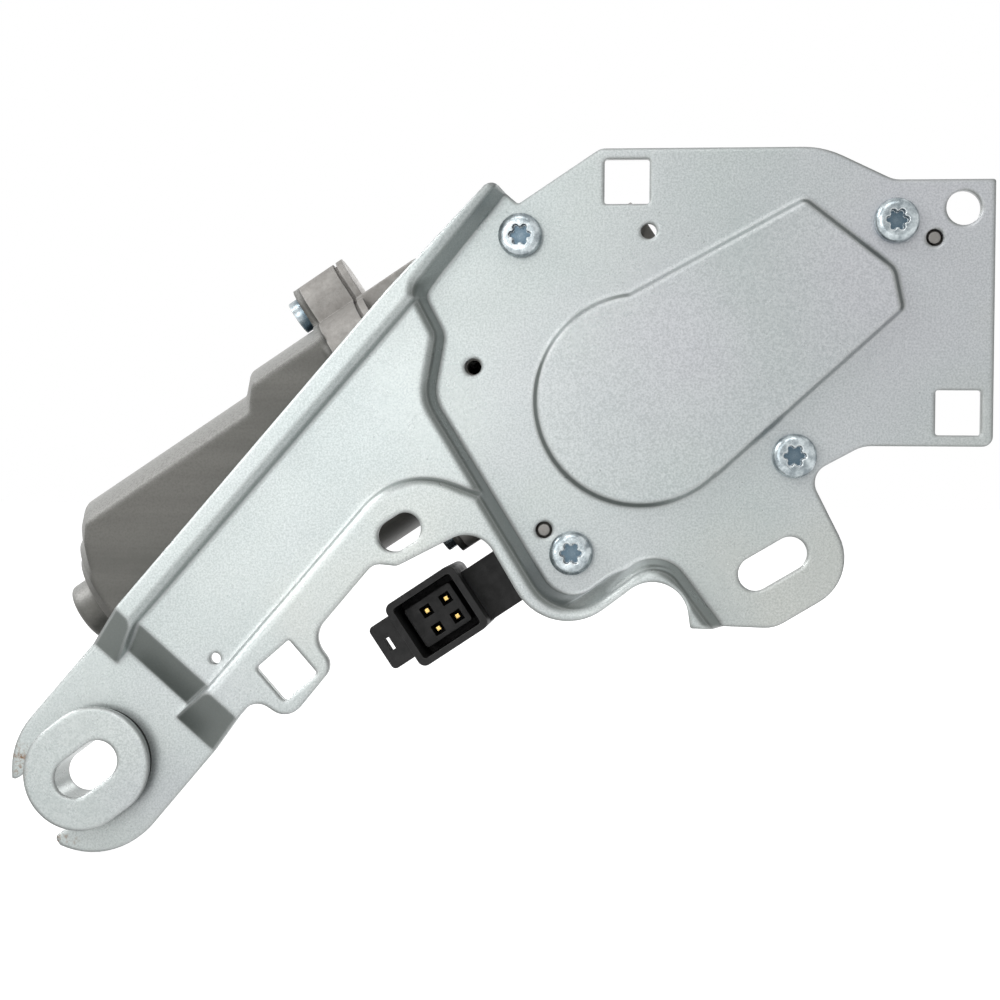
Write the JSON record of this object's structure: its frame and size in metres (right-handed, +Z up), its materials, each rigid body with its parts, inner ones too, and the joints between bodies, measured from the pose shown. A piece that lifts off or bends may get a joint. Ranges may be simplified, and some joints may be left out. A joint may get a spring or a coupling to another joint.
{
  "type": "wiper motor",
  "caption": "Rear wiper gearmotor: yoke motor, worm wheel, crank and toothed sector in a cast housing on a pressed bracket, with a slotted fork bush and socket.",
  "frame": {"origin": "on the output shaft's axis where the threaded stud for the wiper arm begins", "axes": "+Y along the output shaft, away from the bracket's cover side; +Z up with the bracket's top edge level; X across, with the motor and fork to -X"},
  "size_m": [0.2207, 0.0757, 0.1601],
  "materials": {
    "zinc_plate": "zinc-plated, fine grain",
    "die_cast": "as cast, blasted",
    "yoke_steel": "matte plated",
    "screw_steel": "blue zinc",
    "steel": "ground",
    "bronze": "sintered, oiled",
    "copper": "enamelled wire and bars",
    "ferrite": "matt",
    "laminations": "stacked sheet",
    "carbon": "matt",
    "black_plastic": "moulded",
    "brown_plastic": "moulded card",
    "acetal": "moulded gear",
    "rubber": "soft",
    "gasket": "pressed fibre",
    "gold_contact": "plated"
  },
  "bodies": {
    "frame": {"bracket_plate": "zinc_plate", "housing_gasket": "gasket", "gear_housing": "die_cast", "cover_screws": "screw_steel", "motor_yoke": "yoke_steel", "yoke_screws": "screw_steel", "upper_magnet": "ferrite", "lower_magnet": "ferrite", "rear_bearing": "bronze", "front_bearing": "bronze", "thrust_pad": "acetal", "brush_card": "brown_plastic", "brushes": "carbon", "brush_springs": "steel", "chokes": "copper", "connector_housing": "black_plastic", "connector_pins": "gold_contact", "inner_shaft_bush": "bronze", "outer_shaft_bush": "bronze", "shaft_seal": "rubber", "wheel_axle": "steel", "axle_clip": "steel", "park_contacts": "gold_contact", "fork_grommet": "rubber", "bush_sleeve": "zinc_plate"},
    "armature": {"armature_shaft": "steel", "lamination_stack": "laminations", "windings": "copper", "commutator": "copper"},
    "wheel": {"worm_wheel": "acetal", "crank_pin": "steel", "park_disc": "gold_contact"},
    "output": {"output_shaft": "steel", "shaft_washer": "steel", "shaft_circlip": "steel"},
    "link": {"guide_link": "screw_steel", "link_pin": "steel"},
    "sector": {"sector_arm": "screw_steel"}
  },
  "joints": [
    {"name": "output_swing", "type": "hinge", "parent": "frame", "child": "output", "pos_m": [0, -0.027, 0], "axis": [0, -1, 0], "range_deg": [0, 120]},
    {"name": "link_swing", "type": "hinge", "parent": "frame", "child": "link", "pos_m": [0, -0.0537, 0], "axis": [0, -1, 0], "range_deg": [0, 52.02]},
    {"name": "sector_swing", "type": "hinge", "parent": "link", "child": "sector", "pos_m": [-0.00737, -0.051, 0.0142], "axis": [0, -1, 0], "range_deg": [-53.23, 0]},
    {"name": "wheel_spin", "type": "hinge", "parent": "frame", "child": "wheel", "pos_m": [-0.04, -0.044, -0.025], "axis": [0, -1, 0], "continuous": true},
    {"name": "armature_spin", "type": "hinge", "parent": "frame", "child": "armature", "pos_m": [-0.05669, -0.044, -0.00007], "axis": [0.831, 0, 0.5563], "continuous": true}
  ],
  "couplings": [
    {"joint": "link_swing", "follows": "output_swing", "ratio": 0.4318},
    {"joint": "sector_swing", "follows": "output_swing", "ratio": -0.44194},
    {"joint": "armature_spin", "follows": "wheel_spin", "ratio": 60}
  ]
}
